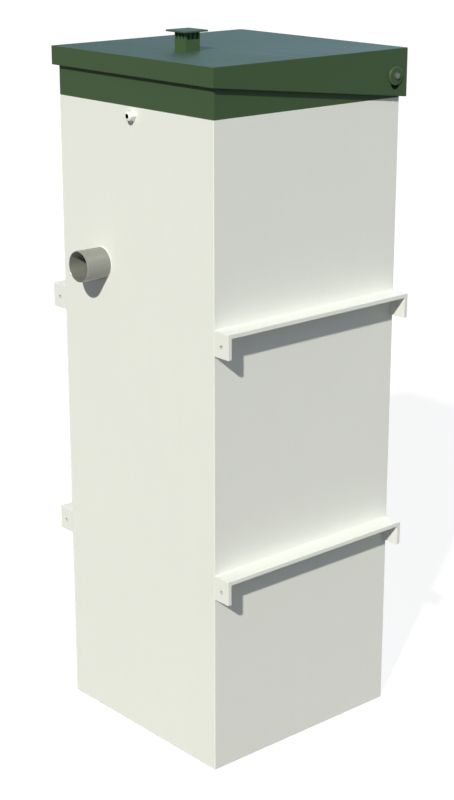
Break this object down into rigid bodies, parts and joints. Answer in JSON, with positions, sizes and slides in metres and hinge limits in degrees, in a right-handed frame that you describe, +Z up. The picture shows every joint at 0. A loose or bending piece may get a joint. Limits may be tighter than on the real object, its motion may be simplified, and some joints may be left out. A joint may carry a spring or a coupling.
{
  "type": "septic tank",
  "caption": "Tall box-shaped plastic septic tank with a green collar, a hinged lid with a slotted vent, side ribs with anchor tabs, an inlet pipe and a cable gland.",
  "frame": {"origin": "middle of the base plate's underside, on the floor", "axes": "+Z up, -Y out of the front face with the inlet pipe, +X to the right seen from the front"},
  "size_m": [0.95, 0.952, 2.506],
  "materials": {
    "shell_white": "satin",
    "collar_green": "satin",
    "lid_green": "semi-gloss",
    "pipe_grey": "satin",
    "gland_white": "satin",
    "zinc_steel": "bright zinc"
  },
  "bodies": {
    "tank": {"base_plate": "shell_white", "front_wall": "shell_white", "back_wall": "shell_white", "left_wall": "shell_white", "right_wall": "shell_white", "collar_front": "collar_green", "collar_back": "collar_green", "collar_left": "collar_green", "collar_right": "collar_green", "left_lower_rib": "shell_white", "left_lower_front_tab": "shell_white", "left_lower_back_tab": "shell_white", "left_upper_rib": "shell_white", "left_upper_front_tab": "shell_white", "left_upper_back_tab": "shell_white", "right_lower_rib": "shell_white", "right_lower_front_tab": "shell_white", "right_lower_back_tab": "shell_white", "right_upper_rib": "shell_white", "right_upper_front_tab": "shell_white", "right_upper_back_tab": "shell_white", "inlet_pipe": "pipe_grey", "gland_body": "gland_white", "gland_nut": "gland_white", "gland_locknut": "gland_white", "left_hinge_bolt": "zinc_steel", "left_hinge_nut": "zinc_steel", "left_hinge_spacer": "zinc_steel", "right_hinge_bolt": "zinc_steel", "right_hinge_nut": "zinc_steel", "right_hinge_spacer": "zinc_steel"},
    "lid": {"lid_top": "lid_green", "lid_front_skirt": "lid_green", "lid_back_skirt": "lid_green", "lid_left_skirt": "lid_green", "lid_right_skirt": "lid_green", "left_hinge_boss": "lid_green", "right_hinge_boss": "lid_green", "vent_housing": "lid_green", "vent_cap": "lid_green"}
  },
  "joints": [
    {"name": "lid_hinge", "type": "hinge", "parent": "tank", "child": "lid", "pos_m": [0, 0.375, 2.346], "axis": [-1, 0, 0], "range_deg": [0, 90]}
  ]
}
